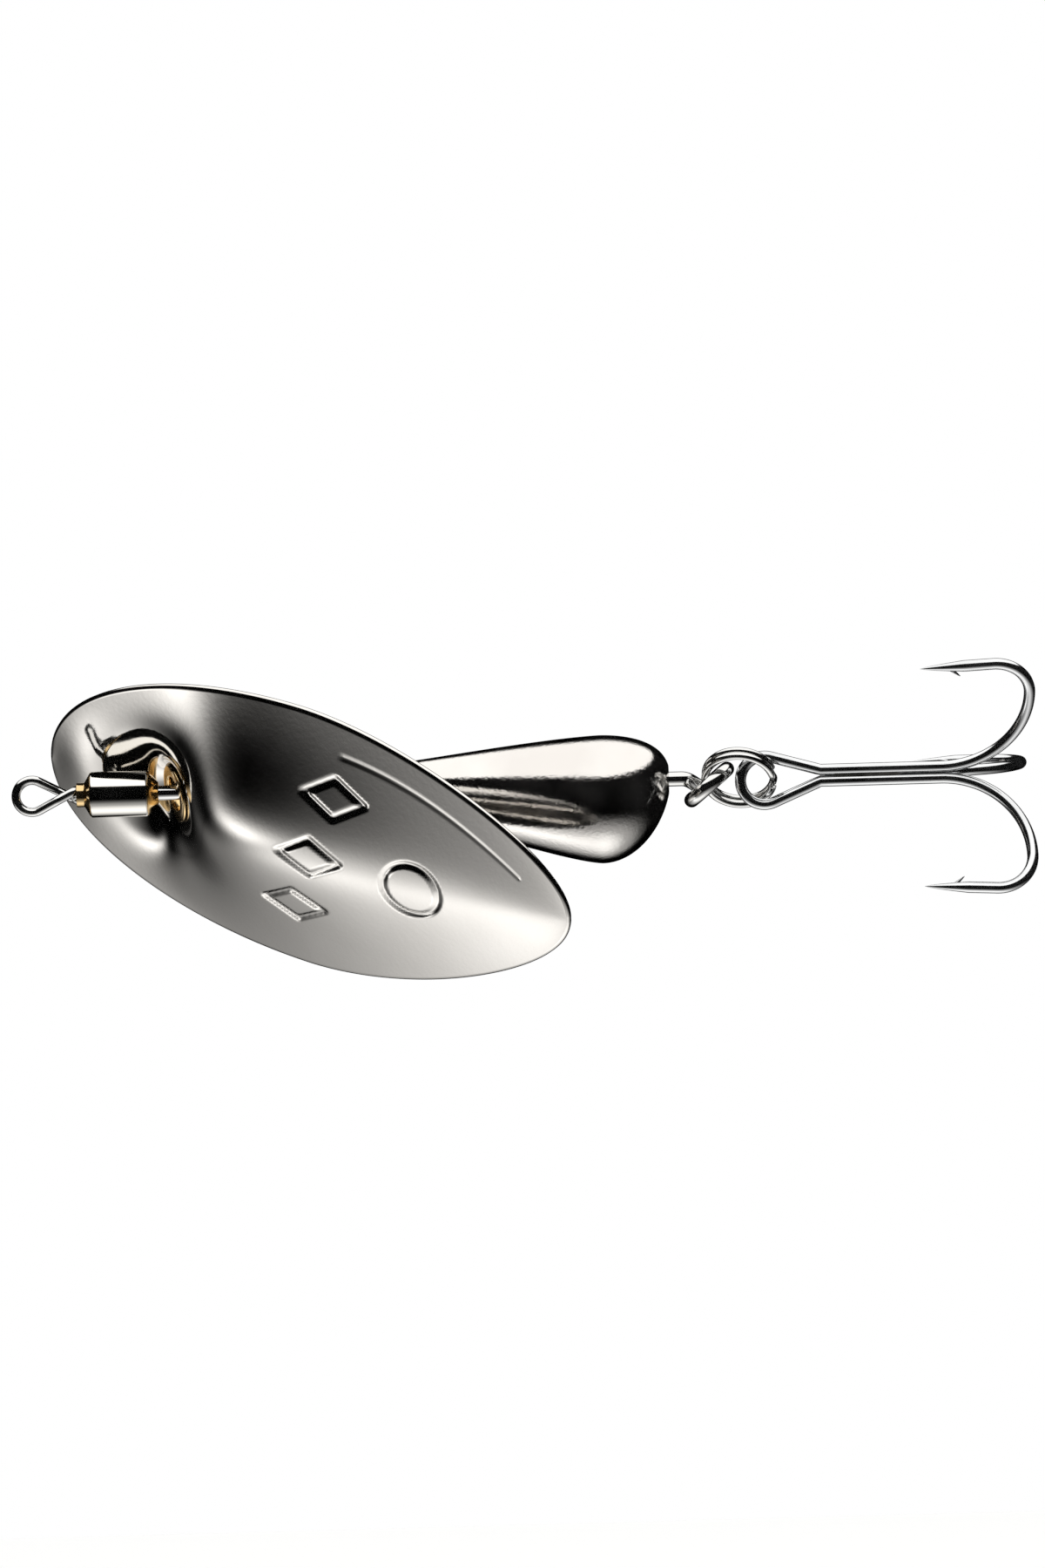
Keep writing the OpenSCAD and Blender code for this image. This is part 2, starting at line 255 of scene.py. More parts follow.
def piece(name, shape, material):
    """Mesh object from vertices in millimetres and faces, shaded smooth except at sharp edges."""
    points, faces = shape
    mesh = bpy.data.meshes.new(name)
    mesh.from_pydata((np.asarray(points) * MM).tolist(), [], faces)
    mesh.materials.append(material)
    shade(mesh)
    obj = bpy.data.objects.new(name, mesh)
    bpy.context.scene.collection.objects.link(obj)
    return obj


def combine(base, tool, operation):
    """Adds or cuts one piece with another, which is then removed."""
    change = base.modifiers.new(operation, "BOOLEAN")
    change.operation = operation
    change.solver = "EXACT"
    change.object = tool
    view = bpy.context.evaluated_depsgraph_get()
    mesh = bpy.data.meshes.new_from_object(base.evaluated_get(view))
    base.modifiers.clear()
    base.data = mesh
    bpy.data.objects.remove(tool)
    shade(mesh)


def finished(obj, body, node):
    """The piece stands for a CAD node, which is hidden, and rides on its body."""
    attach(obj, body)
    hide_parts(node)


# ---------------------------------------------------------------- materials

def plate(name, tint, dull, roughness, grain_mm, pits):
    """Bright metal: its tint drifts to a duller one, its gloss varies and its surface is faintly pitted.
    roughness is (least, most), grain_mm the size of the pits and pits how deep they look."""
    material = bpy.data.materials.new(name)
    material.use_nodes = True
    nodes, links = material.node_tree.nodes, material.node_tree.links
    shader = nodes["Principled BSDF"]
    shader.inputs["Metallic"].default_value = 1.0
    coords = nodes.new("ShaderNodeTexCoord")

    def noise(size_mm, detail):
        texture = nodes.new("ShaderNodeTexNoise")
        texture.inputs["Scale"].default_value = 1 / (size_mm * MM)
        texture.inputs["Detail"].default_value = detail
        links.new(coords.outputs["Object"], texture.inputs["Vector"])
        return texture

    drift = noise(6.0, 3)
    colour = nodes.new("ShaderNodeValToRGB")
    colour.color_ramp.elements[0].position = 0.35
    colour.color_ramp.elements[0].color = (*dull, 1)
    colour.color_ramp.elements[1].position = 0.65
    colour.color_ramp.elements[1].color = (*tint, 1)
    links.new(drift.outputs["Fac"], colour.inputs["Fac"])
    links.new(colour.outputs["Color"], shader.inputs["Base Color"])

    gloss = nodes.new("ShaderNodeMapRange")
    gloss.inputs["From Min"].default_value = 0.3
    gloss.inputs["From Max"].default_value = 0.7
    gloss.inputs["To Min"].default_value = roughness[0]
    gloss.inputs["To Max"].default_value = roughness[1]
    links.new(noise(1.6, 6).outputs["Fac"], gloss.inputs["Value"])
    links.new(gloss.outputs["Result"], shader.inputs["Roughness"])

    bump = nodes.new("ShaderNodeBump")
    bump.inputs["Strength"].default_value = pits
    bump.inputs["Distance"].default_value = grain_mm * MM * 0.1
    links.new(noise(grain_mm, 4).outputs["Fac"], bump.inputs["Height"])
    links.new(bump.outputs["Normal"], shader.inputs["Normal"])
    return material


WIRE = plate("bright_wire", (0.80, 0.80, 0.79), (0.72, 0.72, 0.71), (0.06, 0.14), 0.12, 0.10)
NICKEL = plate("nickel_sleeve", (0.88, 0.86, 0.82), (0.82, 0.80, 0.75), (0.04, 0.09), 0.15, 0.05)
BRASS = plate("polished_brass", (0.86, 0.64, 0.34), (0.74, 0.52, 0.25), (0.06, 0.16), 0.12, 0.10)
BLADE_PLATE = plate("blade_nickel", (0.80, 0.78, 0.75), (0.75, 0.73, 0.70), (0.03, 0.08), 0.30, 0.05)
BODY_PLATE = plate("body_nickel", (0.80, 0.78, 0.75), (0.72, 0.69, 0.66), (0.06, 0.14), 0.22, 0.45)
HOOK_STEEL = plate("tinned_hook", (0.78, 0.79, 0.80), (0.68, 0.69, 0.70), (0.08, 0.18), 0.10, 0.15)
BRAZE = plate("braze", (0.66, 0.64, 0.60), (0.52, 0.50, 0.46), (0.20, 0.38), 0.14, 0.50)


# ---------------------------------------------------------------- line eye and swivel

def leg_lift(x):
    """How far a leg stands off the eye's own plane, so that the two legs can cross."""
    away = min(1, max(0, x / 1.2))
    home = min(1, max(0, (2.5 - x) / 0.4))
    return EYE_WIRE_D * 0.53 * min(away, home)


def eye_half(head_x):
    """Upper half of the loop and its leg, from the front of the loop to the head."""
    leg = (FRONT_CAP_X - EYE_CENTRE_X, -LEG_Z)
    loop = arc((0, 0), EYE_LOOP_R, 180, touch_angle(leg, EYE_LOOP_R, 1), 36)
    run = np.linspace(loop[-1], leg, 25)[1:]
    end = np.linspace((leg[0] + 0.1, -LEG_Z), (head_x - EYE_CENTRE_X, -LEG_Z), 12)
    flat = np.vstack([loop, run, end])
    places = flat[:, 0] + EYE_CENTRE_X
    return np.column_stack([places, [leg_lift(x) for x in places], flat[:, 1]])


def line_eye():
    head_x = SLEEVE_START + SPIGOT_LEN + 0.05
    upper = eye_half(head_x + HEAD_LEN / 2)
    lower = upper[1:] * (1, -1, -1)
    path = np.vstack([upper[::-1], lower])
    eye = piece("line_eye_wire", tube(path, [EYE_WIRE_D / 2] * len(path), Y_AXIS), WIRE)
    ends = np.linspace(head_x, head_x + HEAD_LEN, 5)[:, None] * X_AXIS
    combine(eye, piece("head", tube(*blunt(ends, [HEAD_R] * 5, 0.08), Z_AXIS, 48), WIRE), "UNION")
    finished(eye, "line_eye", "line_eye")


def swivel():
    sleeve = [(SLEEVE_START, SLEEVE_R), (SLEEVE_END, SLEEVE_R),
              (SLEEVE_END, SPIGOT_R), (SLEEVE_START, SPIGOT_R)]
    finished(piece("sleeve", turned(rounded(sleeve, 0.12)), NICKEL), "swivel", "swivel_sleeve")

    cap_r = SLEEVE_R - 0.02
    inside = SLEEVE_START + SPIGOT_LEN
    front = [(FRONT_CAP_X, COLLAR_R), (CONE_X, COLLAR_R), (SLEEVE_START, cap_r), (SLEEVE_START, SPIGOT_R),
             (inside, SPIGOT_R), (inside, LEG_BORE_R), (FRONT_CAP_X, LEG_BORE_R)]
    finished(piece("front_cap", turned(rounded(front, 0.05)), BRASS), "swivel", "swivel_front_cap")

    inside = SLEEVE_END - SPIGOT_LEN
    rear = [(inside, SPIGOT_R), (SLEEVE_END, SPIGOT_R), (SLEEVE_END, cap_r), (REAR_CAP_END, REAR_CAP_END_R),
            (REAR_CAP_END, SHAFT_BORE_R), (inside, SHAFT_BORE_R)]
    finished(piece("rear_cap", turned(rounded(rear, 0.05)), BRASS), "swivel", "swivel_rear_cap")


# ---------------------------------------------------------------- shaft

def shaft():
    """The wire from its head inside the swivel, along the axis, through a lead and round the rear loop."""
    tilt = math.radians(TAIL_LOOP_TILT)
    slant = np.array([math.cos(tilt), 0, math.sin(tilt)])
    start = np.array([TAIL_LOOP_CENTRE[0] - TAIL_LOOP_R - 0.25, 0, 0])
    end = TAIL_LOOP_CENTRE + TAIL_LOOP_R * Y_AXIS
    wire_r = SHAFT_D / 2
    path = [x * X_AXIS for x in (SHAFT_START, SHAFT_START + HEAD_LEN, SHAFT_START + HEAD_LEN + 0.01)]
    radii = [HEAD_R, HEAD_R, wire_r]
    for x in np.linspace(SHAFT_START + HEAD_LEN + 0.2, start[0], 40)[:-1]:
        path.append(x * X_AXIS)
    for t in np.linspace(0, 1, 25)[:-1]:
        h = t * t * (3 - 2 * t)
        bow = TAIL_PULL * t * (1 - t) * ((1 - t) * X_AXIS - t * slant)
        path.append(start * (1 - h) + end * h + bow)
    for turn in np.radians(np.linspace(0, 300, 61)):
        path.append(TAIL_LOOP_CENTRE + TAIL_LOOP_R * (math.cos(turn) * Y_AXIS + math.sin(turn) * slant))
    radii += [wire_r] * (len(path) - len(radii))
    path, radii = blunt(path, radii, 0.06)
    finished(piece("shaft_wire", tube(path, radii, Z_AXIS, 24), WIRE), "shaft", "shaft")


# ---------------------------------------------------------------- blade

def rim_half_w(s):
    """Half the blade's width at distance s from the front tip."""
    t = 2 * s / BLADE_LEN - 1
    return BLADE_W / 2 * np.sqrt(1 - t * t) * (1 - RIM_TAPER * np.maximum(t, 0) ** TAPER_POWER)


def mound(s, w, centre, reach):
    """Soft round rise, 1 at its centre on the blade's middle line."""
    return np.exp(-((s - centre) / reach[0]) ** 2 - (w / reach[1]) ** 2)


def rear_rise(s):
    """Rise of the rear lobe from the hole, from 0 to 1, and its fall to the tail."""
    fall = (np.maximum(0, s - FALL_S) / (BLADE_LEN - FALL_S)) ** FALL_POWER
    return (1 + np.tanh((s - RISE_S) / RISE_REACH)) / 2 * (1 - fall)


def roof(v):
    """Rounded ridge, from 1 along the middle to 0 at both rims."""
    return 1 - (np.hypot(v, RIDGE) - RIDGE) / (math.hypot(1, RIDGE) - RIDGE)


def seat_height():
    """Height of the shaft's axis above the rim, at the hole."""
    slope = math.radians(BLADE_SLOPE)
    return -(RIM_U + SEAT_S * math.sin(slope)) / math.cos(slope)


def sheet_height(s, v):
    """Height of the sheet above its rim, s from the front tip and at the share v of its half width."""
    w = v * rim_half_w(s)
    dished = (REAR_LOBE_HEIGHT * rear_rise(s) * roof(v)
              + (1 - v * v) * (LIP_HEIGHT * mound(s, w, LIP_S, LIP_REACH) * np.tanh(s / LIP_START)
                               + SHOULDER_HEIGHT * mound(s, w, SHOULDER_S, SHOULDER_REACH)
                               - HOLLOW_DEPTH * mound(s, w, HOLLOW_S, HOLLOW_REACH)))
    seat = np.exp(-np.hypot((s - SEAT_S) / SEAT_REACH[0], w / SEAT_REACH[1]) ** 6)
    flat = seat_height() + (s - SEAT_S) * math.tan(math.radians(SEAT_TILT))
    return (1 - seat) * dished + seat * flat


def to_segment(s, w, a, b):
    """Distance of each place on the sheet from a straight line between two places."""
    length = math.dist(a, b)
    along = ((s - a[0]) * (b[0] - a[0]) + (w - a[1]) * (b[1] - a[1])) / length
    along = np.clip(along, 0, length) / length
    return np.hypot(s - a[0] - along * (b[0] - a[0]), w - a[1] - along * (b[1] - a[1]))


def stamped(s, w):
    """Depth of the plain stamped marks, three lozenges and a ring, and of the faint crease along one
    rim, at each place on the sheet."""
    groove_w, depth = 0.5, 0.11
    crease_w, crease_depth = 0.36, 0.022
    half_long, half_wide = 1.9, 1.2
    ring_s, ring_w, ring_r = 24.7, -0.5, 1.7
    near = np.full(s.shape, BLADE_LEN)
    for centre in ((17.0, -3.9), (18.4, 0.1), (19.8, 4.1)):
        corners = [(centre[0] + half_long, centre[1]), (centre[0], centre[1] + half_wide),
                   (centre[0] - half_long, centre[1]), (centre[0], centre[1] - half_wide)]
        for i in range(4):
            near = np.minimum(near, to_segment(s, w, corners[i - 1], corners[i]))
    near = np.minimum(near, abs(np.hypot(s - ring_s, w - ring_w) - ring_r))
    t = np.clip(1 - near / (groove_w / 2), 0, 1)
    marks = depth * np.minimum(1, 1.6 * t * t * (3 - 2 * t))
    start, end = 20.1, 31.3
    line = 6.7 - 0.088 * (s - start) - 0.0296 * (s - start) ** 2
    off = 0.87 * abs(w - line) + np.maximum(0, np.maximum(start - s, s - end))
    t = np.clip(1 - off / (crease_w / 2), 0, 1)
    return marks + crease_depth * t * t * (3 - 2 * t)


def middle_sheet(rows, cols):
    """Middle surface of the blade in its own place, stopping half a thickness short of the rim."""
    turns, v = np.meshgrid(np.radians(np.linspace(1.5, 178.5, rows + 1)), np.linspace(-1, 1, cols + 1),
                           indexing="ij")
    s = BLADE_LEN / 2 * (1 - np.cos(turns))
    middle = BLADE_LEN / 2
    return np.stack([middle + (s - middle) * (1 - BLADE_T / BLADE_LEN), -sheet_height(s, v),
                     v * rim_half_w(s) * (1 - BLADE_T / BLADE_W)], axis=-1)


def blade():
    """The curved sheet, with marks stamped in its near face, a rounded rim and the bush's hole."""
    rows, cols, rim_steps = 360, 130, 6
    sheet = middle_sheet(rows, cols)
    normal = np.cross(np.gradient(sheet, axis=1), np.gradient(sheet, axis=0))
    normal /= np.linalg.norm(normal, axis=-1, keepdims=True)
    # The near face looks along -Y of the sheet's own frame
    if normal[rows // 2, cols // 2, 1] > 0:
        normal = -normal
    depth = stamped(sheet[..., 0], sheet[..., 2])[..., None]
    near = sheet + normal * (BLADE_T / 2 - depth)
    far = sheet - normal * (BLADE_T / 2)
    index = np.arange((rows + 1) * (cols + 1)).reshape(rows + 1, cols + 1)
    count = index.size
    corner = (index[:-1, :-1], index[:-1, 1:], index[1:, 1:], index[1:, :-1])
    near_faces = np.stack(corner, axis=-1).reshape(-1, 4)
    far_faces = np.stack(corner[::-1], axis=-1).reshape(-1, 4) + count

    loop = np.concatenate([index[0, :], index[1:, -1], index[-1, -2::-1], index[-2:0:-1, 0]])
    edge, lean = sheet.reshape(-1, 3)[loop], normal.reshape(-1, 3)[loop]
    out = np.cross(lean, np.roll(edge, -1, axis=0) - np.roll(edge, 1, axis=0))
    out /= np.linalg.norm(out, axis=-1, keepdims=True)
    if ((edge - edge.mean(0)) * out).sum() < 0:
        out = -out
    points = [near.reshape(-1, 3), far.reshape(-1, 3)]
    rings = [loop]
    for i, turn in enumerate(np.radians(np.linspace(0, 180, rim_steps + 1))[1:-1]):
        points.append(edge + BLADE_T / 2 * (math.cos(turn) * lean + math.sin(turn) * out))
        rings.append(2 * count + i * len(loop) + np.arange(len(loop)))
    rings.append(loop + count)
    rim_faces = []
    for upper, lower in zip(rings, rings[1:]):
        rim_faces.append(np.stack([upper, lower, np.roll(lower, -1), np.roll(upper, -1)], axis=-1))
    faces = np.vstack([near_faces, far_faces, *rim_faces])

    obj = piece("blade_sheet", (np.vstack(points), faces.tolist()), BLADE_PLATE)
    obj.data.transform(Matrix.Rotation(math.radians(BLADE_ROLL), 4, "X")
                       @ Matrix.Translation((RIM_X * MM, -RIM_U * MM, 0))
                       @ Matrix.Rotation(math.radians(-BLADE_SLOPE), 4, "Z"))
    drill = np.linspace(-2, 2, 5)[:, None] * Z_AXIS
    hole = piece("hole", tube(drill, [BUSH_NECK_R] * 5, X_AXIS, 64), BLADE_PLATE)
    hole.data.transform(at_hole())
    combine(obj, hole, "DIFFERENCE")
    finished(obj, "blade", "blade")


def at_hole():
    """Puts something that is centred on its own Z axis into the blade's hole, square to the sheet there."""
    slope = math.radians(BLADE_SLOPE)
    hole_x = RIM_X + SEAT_S * math.cos(slope) - seat_height() * math.sin(slope)
    return (Matrix.Rotation(math.radians(BLADE_ROLL), 4, "X") @ Matrix.Translation((hole_x * MM, 0, 0))
            @ Matrix.Rotation(-slope - math.radians(SEAT_TILT), 4, "Z")
            @ Matrix.Rotation(math.radians(90), 4, "X"))


def bush():
    """Brass eyelet, with its flanges rolled over both faces of the sheet."""
    sheet, face = BLADE_T / 2, BLADE_T / 2 + BUSH_FLANGE_T
    outline = [(-face, BUSH_FLANGE_R), (-sheet, BUSH_FLANGE_R), (-sheet, BUSH_NECK_R), (sheet, BUSH_NECK_R),
               (sheet, BUSH_FLANGE_R), (face, BUSH_FLANGE_R), (face, BUSH_BORE_R), (-face, BUSH_BORE_R)]
    obj = piece("bush", turned(rounded(outline, 0.12)), BRASS)
    obj.data.transform(at_hole() @ Matrix.Rotation(math.radians(-90), 4, "Y"))
    finished(obj, "blade", "blade_bush")


def bead():
    edge = math.degrees(math.asin(SHAFT_BORE_R / BEAD_R))
    outline = arc((BEAD_X, 0), BEAD_R, 180 - edge, edge, 40)
    finished(piece("bead_ball", turned(outline), BRASS), "bead", "thrust_bead")


# ---------------------------------------------------------------- body

def body_r(x):
    if x < FAT_X:
        t = max(0, x - BODY_X) / (FAT_X - BODY_X)
        return NOSE_R + (BODY_R - NOSE_R) * (1 - (1 - t ** 1.8) ** 1.4)
    return BODY_R * math.sqrt(1 - ((x - FAT_X) / TAIL_LEN) ** 2)


def body():
    """Round sections that swell into a low keel near the tail, with the shaft's bore through them."""
    front = list(np.linspace(BODY_X, FAT_X, 110))
    tail = math.degrees(math.asin((BODY_END - FAT_X) / TAIL_LEN))
    rear = [FAT_X + TAIL_LEN * math.sin(math.radians(a)) for a in np.linspace(0, tail, 50)[1:]]
    turns = np.linspace(0, 2 * math.pi, 128, endpoint=False)
    rings = []
    for x in front + rear:
        r = body_r(x)
        drop = KEEL_DROP * (max(0, r - NOSE_R) / (BODY_R - NOSE_R)) ** 1.5
        rings.append([(x, r * math.cos(a), r * math.sin(a) - drop) for a in turns])
    for x in np.linspace(BODY_END, BODY_X, 12):
        rings.append([(x, SHAFT_BORE_R * math.cos(a), SHAFT_BORE_R * math.sin(a)) for a in turns])
    finished(piece("body_casting", loft(rings, closed=True), BODY_PLATE), "weight", "body")


# ---------------------------------------------------------------- split ring and treble

def ring():
    """One wire of two turns that steps from the lower turn to the upper in the gap between its ends."""
    gap, pitch = 14, RING_WIRE_D * 0.95
    turns = np.linspace(gap, 720 - gap, 260)
    rise = np.clip((turns - 360 + gap) / (2 * gap), 0, 1)
    heights = pitch * (rise * rise * (3 - 2 * rise) - 0.5)
    turns = np.radians(turns)
    path = np.column_stack([RING_LINE_R * np.cos(turns), RING_LINE_R * np.sin(turns), heights])
    path, radii = blunt(path, [RING_WIRE_D / 2 - 0.002] * len(path), 0.05)
    obj = piece("ring_coil", tube(path, radii, Z_AXIS, 16), WIRE)
    place = (Matrix.Translation([c * MM for c in RING_CENTRE])
             @ Matrix.Rotation(math.radians(RING_TURN), 4, "Z")
             @ Matrix.Rotation(math.radians(90 + RING_TILT), 4, "X"))
    obj.data.transform(place)
    finished(obj, "ring", "split_ring")


def hook_profile():
    """One hook from its shank to its point, as distances along and away from the treble's axis."""
    bend = arc((BEND_X, SHANK_R + BEND_R), BEND_R, -90, 0, 36)
    throat = arc((BEND_X + BEND_R - THROAT_R, SHANK_R + BEND_R), THROAT_R, 0, 90 + POINT_SLOPE, 24)
    rise = math.tan(math.radians(POINT_SLOPE))
    length = throat[-1][0] - POINT_X
    steps = np.concatenate([np.linspace(0, length - POINT_TAPER, 6)[1:],
                            length - POINT_TAPER * np.linspace(1, 0, 16)[1:] ** 1.5])
    straight = [throat[-1] - step * np.array([1, rise]) for step in steps]
    return np.vstack([bend, throat[1:], straight])


def hook_path(angle):
    turn = math.radians(angle + TREBLE_ROLL)
    profile = hook_profile()
    return np.column_stack([profile[:, 0], profile[:, 1] * math.cos(turn) + TREBLE_Y,
                            profile[:, 1] * math.sin(turn)])


def hook_radii():
    """Full wire, and a needle point over its last few millimetres."""
    left = np.clip((hook_profile()[:, 0] - POINT_X) / POINT_TAPER, 0, 1)
    radii = HOOK_WIRE_D / 2 * np.maximum(0.06, left ** 0.69)
    radii[:len(radii) // 2] = HOOK_WIRE_D / 2
    return radii


def barb(angle):
    """Sliver cut up from the inner side of the wire, leaning back towards the bend."""
    profile = hook_profile()
    on_wire = profile[np.argmin(abs(profile[-30:, 0] - BARB_X)) - 30]
    lean = math.radians(BARB_LEAN)
    steps = np.linspace(0, 1, 9)
    path = np.column_stack([on_wire[0] + BARB_LEN * steps * math.cos(lean),
                            0 * steps,
                            on_wire[1] - BARB_LEN * steps * math.sin(lean)])
    sliver = piece("barb", tube(path, 0.03 + 0.17 * (1 - steps) ** 0.8, Z_AXIS, 12, flat=0.7), HOOK_STEEL)
    turn = Matrix.Rotation(math.radians(angle + TREBLE_ROLL - 90), 4, "X")
    sliver.data.transform(Matrix.Translation((0, TREBLE_Y * MM, 0)) @ turn)
    return sliver


def hook_pair():
    """Two hooks bent from one wire, whose middle forms the treble's eye."""
    rise, setback = SHANK_R * math.sin(math.radians(60)), -SHANK_R / 2
    cx, cz = HOOK_EYE_CENTRE
    top = (SHANK_X - cx, rise - cz)
    bottom = (SHANK_X - cx, -rise - cz)
    loop = arc((cx, cz), HOOK_EYE_R, touch_angle(top, HOOK_EYE_R, 1),
               touch_angle(bottom, HOOK_EYE_R, -1) + 360, 72)
    upper, lower = hook_path(120), hook_path(240)
    lead_in = np.linspace((SHANK_X, rise), loop[0], 14)[:-1]
    lead_out = np.linspace(loop[-1], (SHANK_X, -rise), 14)[1:]
    flat = np.vstack([lead_in, loop, lead_out])
    roll = math.radians(TREBLE_ROLL)
    eye = np.column_stack([flat[:, 0], setback * math.cos(roll) - flat[:, 1] * math.sin(roll) + TREBLE_Y,
                           setback * math.sin(roll) + flat[:, 1] * math.cos(roll)])
    shank = np.linspace(0, 1, 10)[1:-1, None]
    top_shank = upper[0] + (eye[0] - upper[0]) * shank
    bottom_shank = eye[-1] + (lower[0] - eye[-1]) * shank
    path = np.vstack([upper[::-1], top_shank, eye, bottom_shank, lower])
    radii = np.full(len(path), HOOK_WIRE_D / 2)
    radii[:len(upper)] = hook_radii()[::-1]
    radii[-len(lower):] = hook_radii()
    pair = piece("paired_hooks", tube(path, radii, Y_AXIS, 20), HOOK_STEEL)
    combine(pair, barb(120), "UNION")
    combine(pair, barb(240), "UNION")
    finished(pair, "treble", "hook_pair")


def third_hook():
    path = hook_path(0)
    shank = np.linspace((SHANK_X + 0.3, *path[0][1:]), path[0], 12)[:-1]
    path = np.vstack([shank, path])
    radii = np.concatenate([np.full(len(shank), HOOK_WIRE_D / 2), hook_radii()])
    radii[:2] *= (0.72, 0.97)
    hook = piece("single_hook", tube(path, radii, Z_AXIS, 20), HOOK_STEEL)
    combine(hook, barb(0), "UNION")
    finished(hook, "treble", "third_hook")


def braze():
    """Metal drawn into the three grooves between the shanks, thinning out at both ends."""
    turns = np.linspace(0, 2 * math.pi, 72, endpoint=False)
    rings = []
    for x in np.linspace(BRAZE_START, BRAZE_END, 40):
        end = min(x - BRAZE_START, BRAZE_END - x) / 0.9
        fill = 0.24 + 0.17 * math.sqrt(min(1, max(0, end)))
        ripple = 0.012 * math.sin(5.1 * x)
        radius = [fill + ripple + 0.06 * (1 + math.cos(3 * a)) for a in turns]
        lean = math.radians(TREBLE_ROLL)
        rings.append([(x, r * math.cos(a + lean) + TREBLE_Y, r * math.sin(a + lean))
                      for r, a in zip(radius, turns)])
    finished(piece("braze_fillet", loft(rings), BRAZE), "treble", "hook_braze")


# ---------------------------------------------------------------- studio

def studio():
    """White surroundings for the eye and for diffuse light. The metal mirrors a dim room instead, with
    white overhead and below, dark bands at eye level and soft cards at the line eye's end."""
    world = bpy.data.worlds.new("studio")
    bpy.context.scene.world = world
    world.use_nodes = True
    nodes, links = world.node_tree.nodes, world.node_tree.links
    nodes.clear()

    def math_node(operation, first, second):
        node = nodes.new("ShaderNodeMath")
        node.operation = operation
        for socket, value in zip(node.inputs, (first, second)):
            if isinstance(value, (int, float)):
                socket.default_value = value
            else:
                links.new(value, socket)
        return node.outputs["Value"]

    direction = nodes.new("ShaderNodeTexCoord").outputs["Generated"]
    parts = nodes.new("ShaderNodeSeparateXYZ")
    links.new(direction, parts.inputs["Vector"])

    def by_height(levels):
        """Brightness, as the eye judges it, by elevation in degrees."""
        share = nodes.new("ShaderNodeMapRange")
        share.inputs["From Min"].default_value = -1
        links.new(parts.outputs["Z"], share.inputs["Value"])
        ramp = nodes.new("ShaderNodeValToRGB")
        links.new(share.outputs["Result"], ramp.inputs["Fac"])
        elements = ramp.color_ramp.elements
        for elevation, _ in levels[1:-1]:
            elements.new((math.sin(math.radians(elevation)) + 1) / 2)
        for element, (_, level) in zip(elements, levels):
            element.color = (level, level, level, 1)
        return ramp.outputs["Color"]

    front = by_height(((-90, 1), (-70, 0.86), (-58, 0.62), (-48, 0.52), (-40, 0.36), (-24, 0), (36, 0.04),
                       (42, 1), (90, 1)))
    back = by_height(((-90, 1), (-70, 0.8), (-55, 0.2), (-40, 0), (44, 0), (52, 0.9), (90, 1)))
    side = nodes.new("ShaderNodeMapRange")
    side.inputs["From Min"].default_value = 0.55
    side.inputs["From Max"].default_value = 0.8
    links.new(parts.outputs["Y"], side.inputs["Value"])
    room = nodes.new("ShaderNodeMix")
    room.data_type = "FLOAT"
    links.new(side.outputs["Result"], room.inputs[0])
    links.new(front, room.inputs[2])
    links.new(back, room.inputs[3])
    level = room.outputs[0]

    # Soft cards: azimuth from the camera towards the hook, elevation, brightness and reach
    for azimuth, elevation, bright, reach in ((-124, -24, 0.26, 0.26), (-81, -36, 0.72, 0.17),
                                              (-87, -25, 0.55, 0.15), (-94, -58, 0.4, 0.23)):
        turn, lift = math.radians(azimuth), math.radians(elevation)
        centre = (math.sin(turn) * math.cos(lift), -math.cos(turn) * math.cos(lift), math.sin(lift))
        away = nodes.new("ShaderNodeVectorMath")
        away.operation = "DISTANCE"
        links.new(direction, away.inputs[0])
        away.inputs[1].default_value = centre
        share = math_node("POWER", math_node("DIVIDE", away.outputs["Value"], reach), 2.0)
        glow = math_node("EXPONENT", math_node("MULTIPLY", share, -1.0), 0.0)
        level = math_node("ADD", level, math_node("MULTIPLY", glow, bright))

    # From brightness as judged to light, over what the plated metal gives back
    radiance = math_node("DIVIDE", math_node("POWER", math_node("MINIMUM", level, 1.12), 2.2), 0.75)
    room_light = nodes.new("ShaderNodeBackground")
    room_light.inputs["Color"].default_value = (1, 0.99, 0.975, 1)
    links.new(radiance, room_light.inputs["Strength"])
    white = nodes.new("ShaderNodeBackground")
    white.inputs["Color"].default_value = (1, 1, 1, 1)
    rays = nodes.new("ShaderNodeLightPath")
    mirror = nodes.new("ShaderNodeMixShader")
    links.new(rays.outputs["Is Glossy Ray"], mirror.inputs["Fac"])
    links.new(white.outputs["Background"], mirror.inputs[1])
    links.new(room_light.outputs["Background"], mirror.inputs[2])
    output = nodes.new("ShaderNodeOutputWorld")
    links.new(mirror.outputs["Shader"], output.inputs["Surface"])

    scene = bpy.context.scene
    scene.view_settings.view_transform = "Standard"
    scene.view_settings.look = "None"


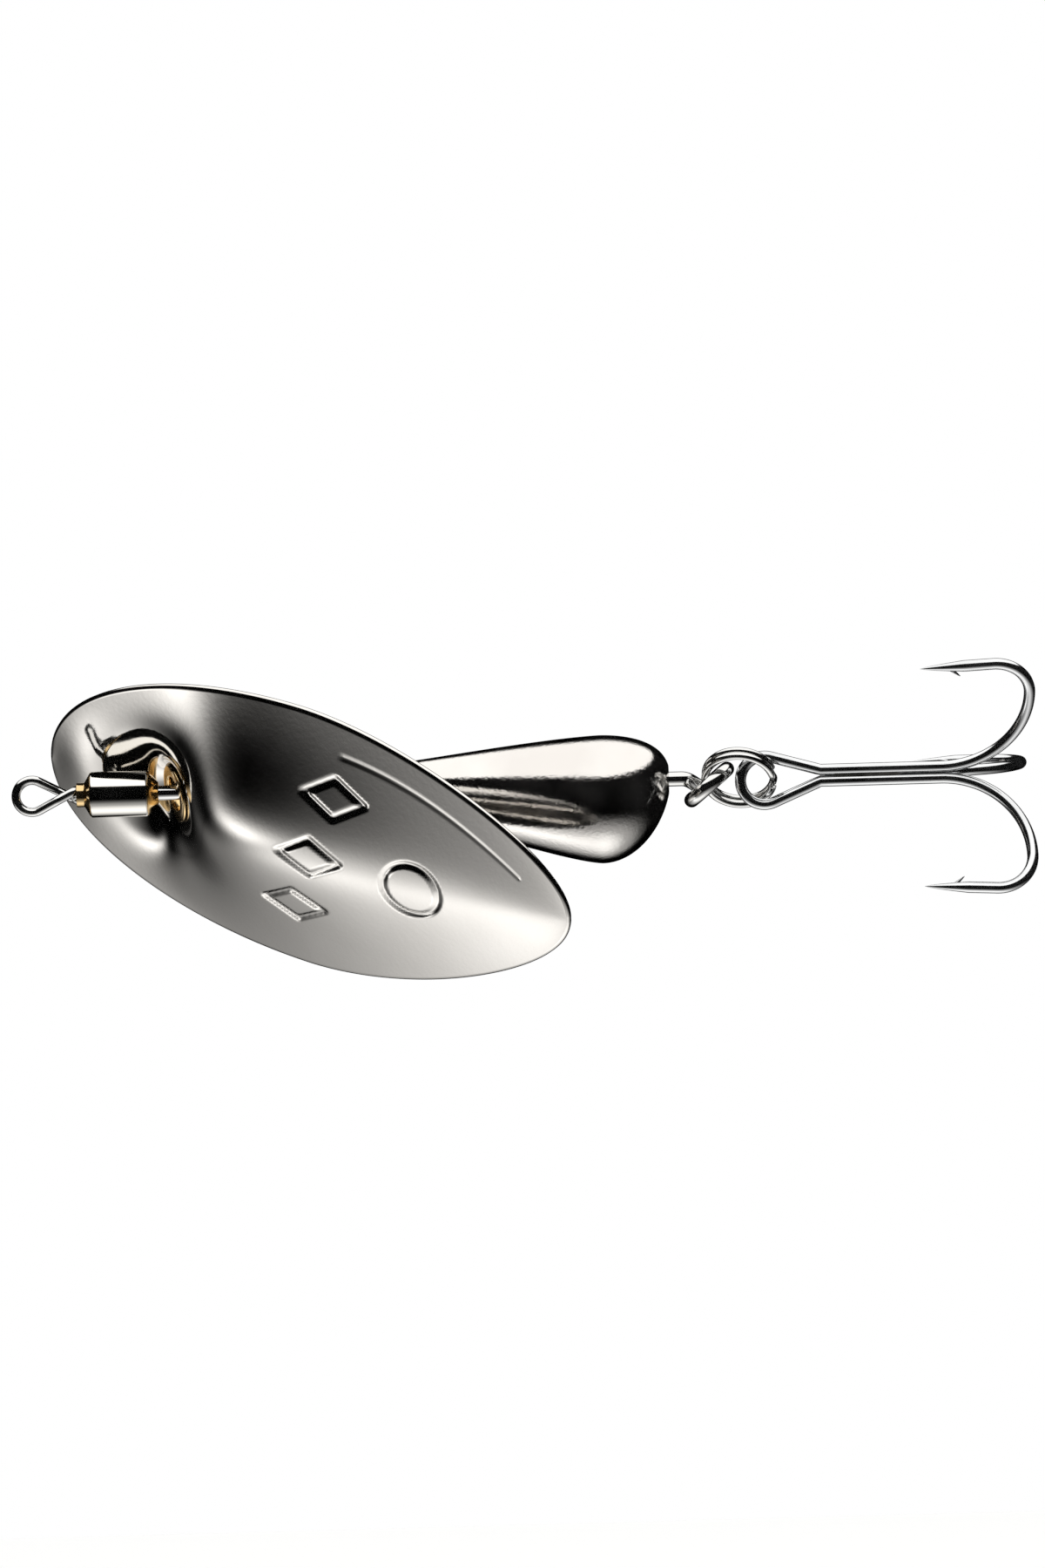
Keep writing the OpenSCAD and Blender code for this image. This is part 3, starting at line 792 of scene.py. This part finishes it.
def floor():
    """Pale floor under the lure, which lets light and sight through from below."""
    material = bpy.data.materials.new("pale_floor")
    material.use_nodes = True
    nodes, links = material.node_tree.nodes, material.node_tree.links
    shader = nodes["Principled BSDF"]
    shader.inputs["Base Color"].default_value = (0.93, 0.93, 0.92, 1)
    shader.inputs["Roughness"].default_value = 0.9
    clear = nodes.new("ShaderNodeBsdfTransparent")
    side = nodes.new("ShaderNodeNewGeometry")
    mix = nodes.new("ShaderNodeMixShader")
    links.new(side.outputs["Backfacing"], mix.inputs["Fac"])
    links.new(shader.outputs["BSDF"], mix.inputs[1])
    links.new(clear.outputs["BSDF"], mix.inputs[2])
    links.new(mix.outputs["Shader"], nodes["Material Output"].inputs["Surface"])
    reach = 130
    middle = (cad_low + cad_high) / 2 / MM
    depth = cad_low.z / MM - 45
    corners = [(middle.x + x * reach, middle.y + y * reach, depth)
               for x, y in ((-1, -1), (1, -1), (1, 1), (-1, 1))]
    obj = piece("pale_floor", (corners, [(0, 1, 2, 3)]), material)
    obj.visible_glossy = False


def light():
    """One broad soft lamp overhead, for the floor's shadow; the metal itself mirrors the surroundings."""
    lamp = bpy.data.lights.new("overhead_softbox", "AREA")
    lamp.shape = "DISK"
    lamp.size = 0.4
    lamp.energy = 0.4
    obj = bpy.data.objects.new("overhead_softbox", lamp)
    bpy.context.scene.collection.objects.link(obj)
    obj.location = ((cad_low.x + cad_high.x) / 2, -0.1, 0.4)
    obj.rotation_euler = (math.radians(-14), 0, 0)
    obj.visible_glossy = False


def camera():
    """Level view square to the shaft, tipped a little so that the hook's end rises."""
    tip = math.radians(1.55)
    distance, lens, long_side = 0.4, 160, 36
    lens_data = bpy.data.cameras.new("camera")
    lens_data.lens = lens
    lens_data.sensor_width = long_side
    lens_data.clip_start = 0.01
    obj = bpy.data.objects.new("camera", lens_data)
    bpy.context.scene.collection.objects.link(obj)
    right = (math.cos(tip), 0, -math.sin(tip))
    up = (math.sin(tip), 0, math.cos(tip))
    turn = Matrix((right, up, (0, -1, 0))).transposed().to_4x4()
    obj.matrix_world = Matrix.Translation((27.9 * MM, -distance, -0.05 * MM)) @ turn
    bpy.context.scene.camera = obj


camera()
studio()
floor()
light()
line_eye()
swivel()
shaft()
blade()
bush()
bead()
body()
ring()
hook_pair()
third_hook()
braze()
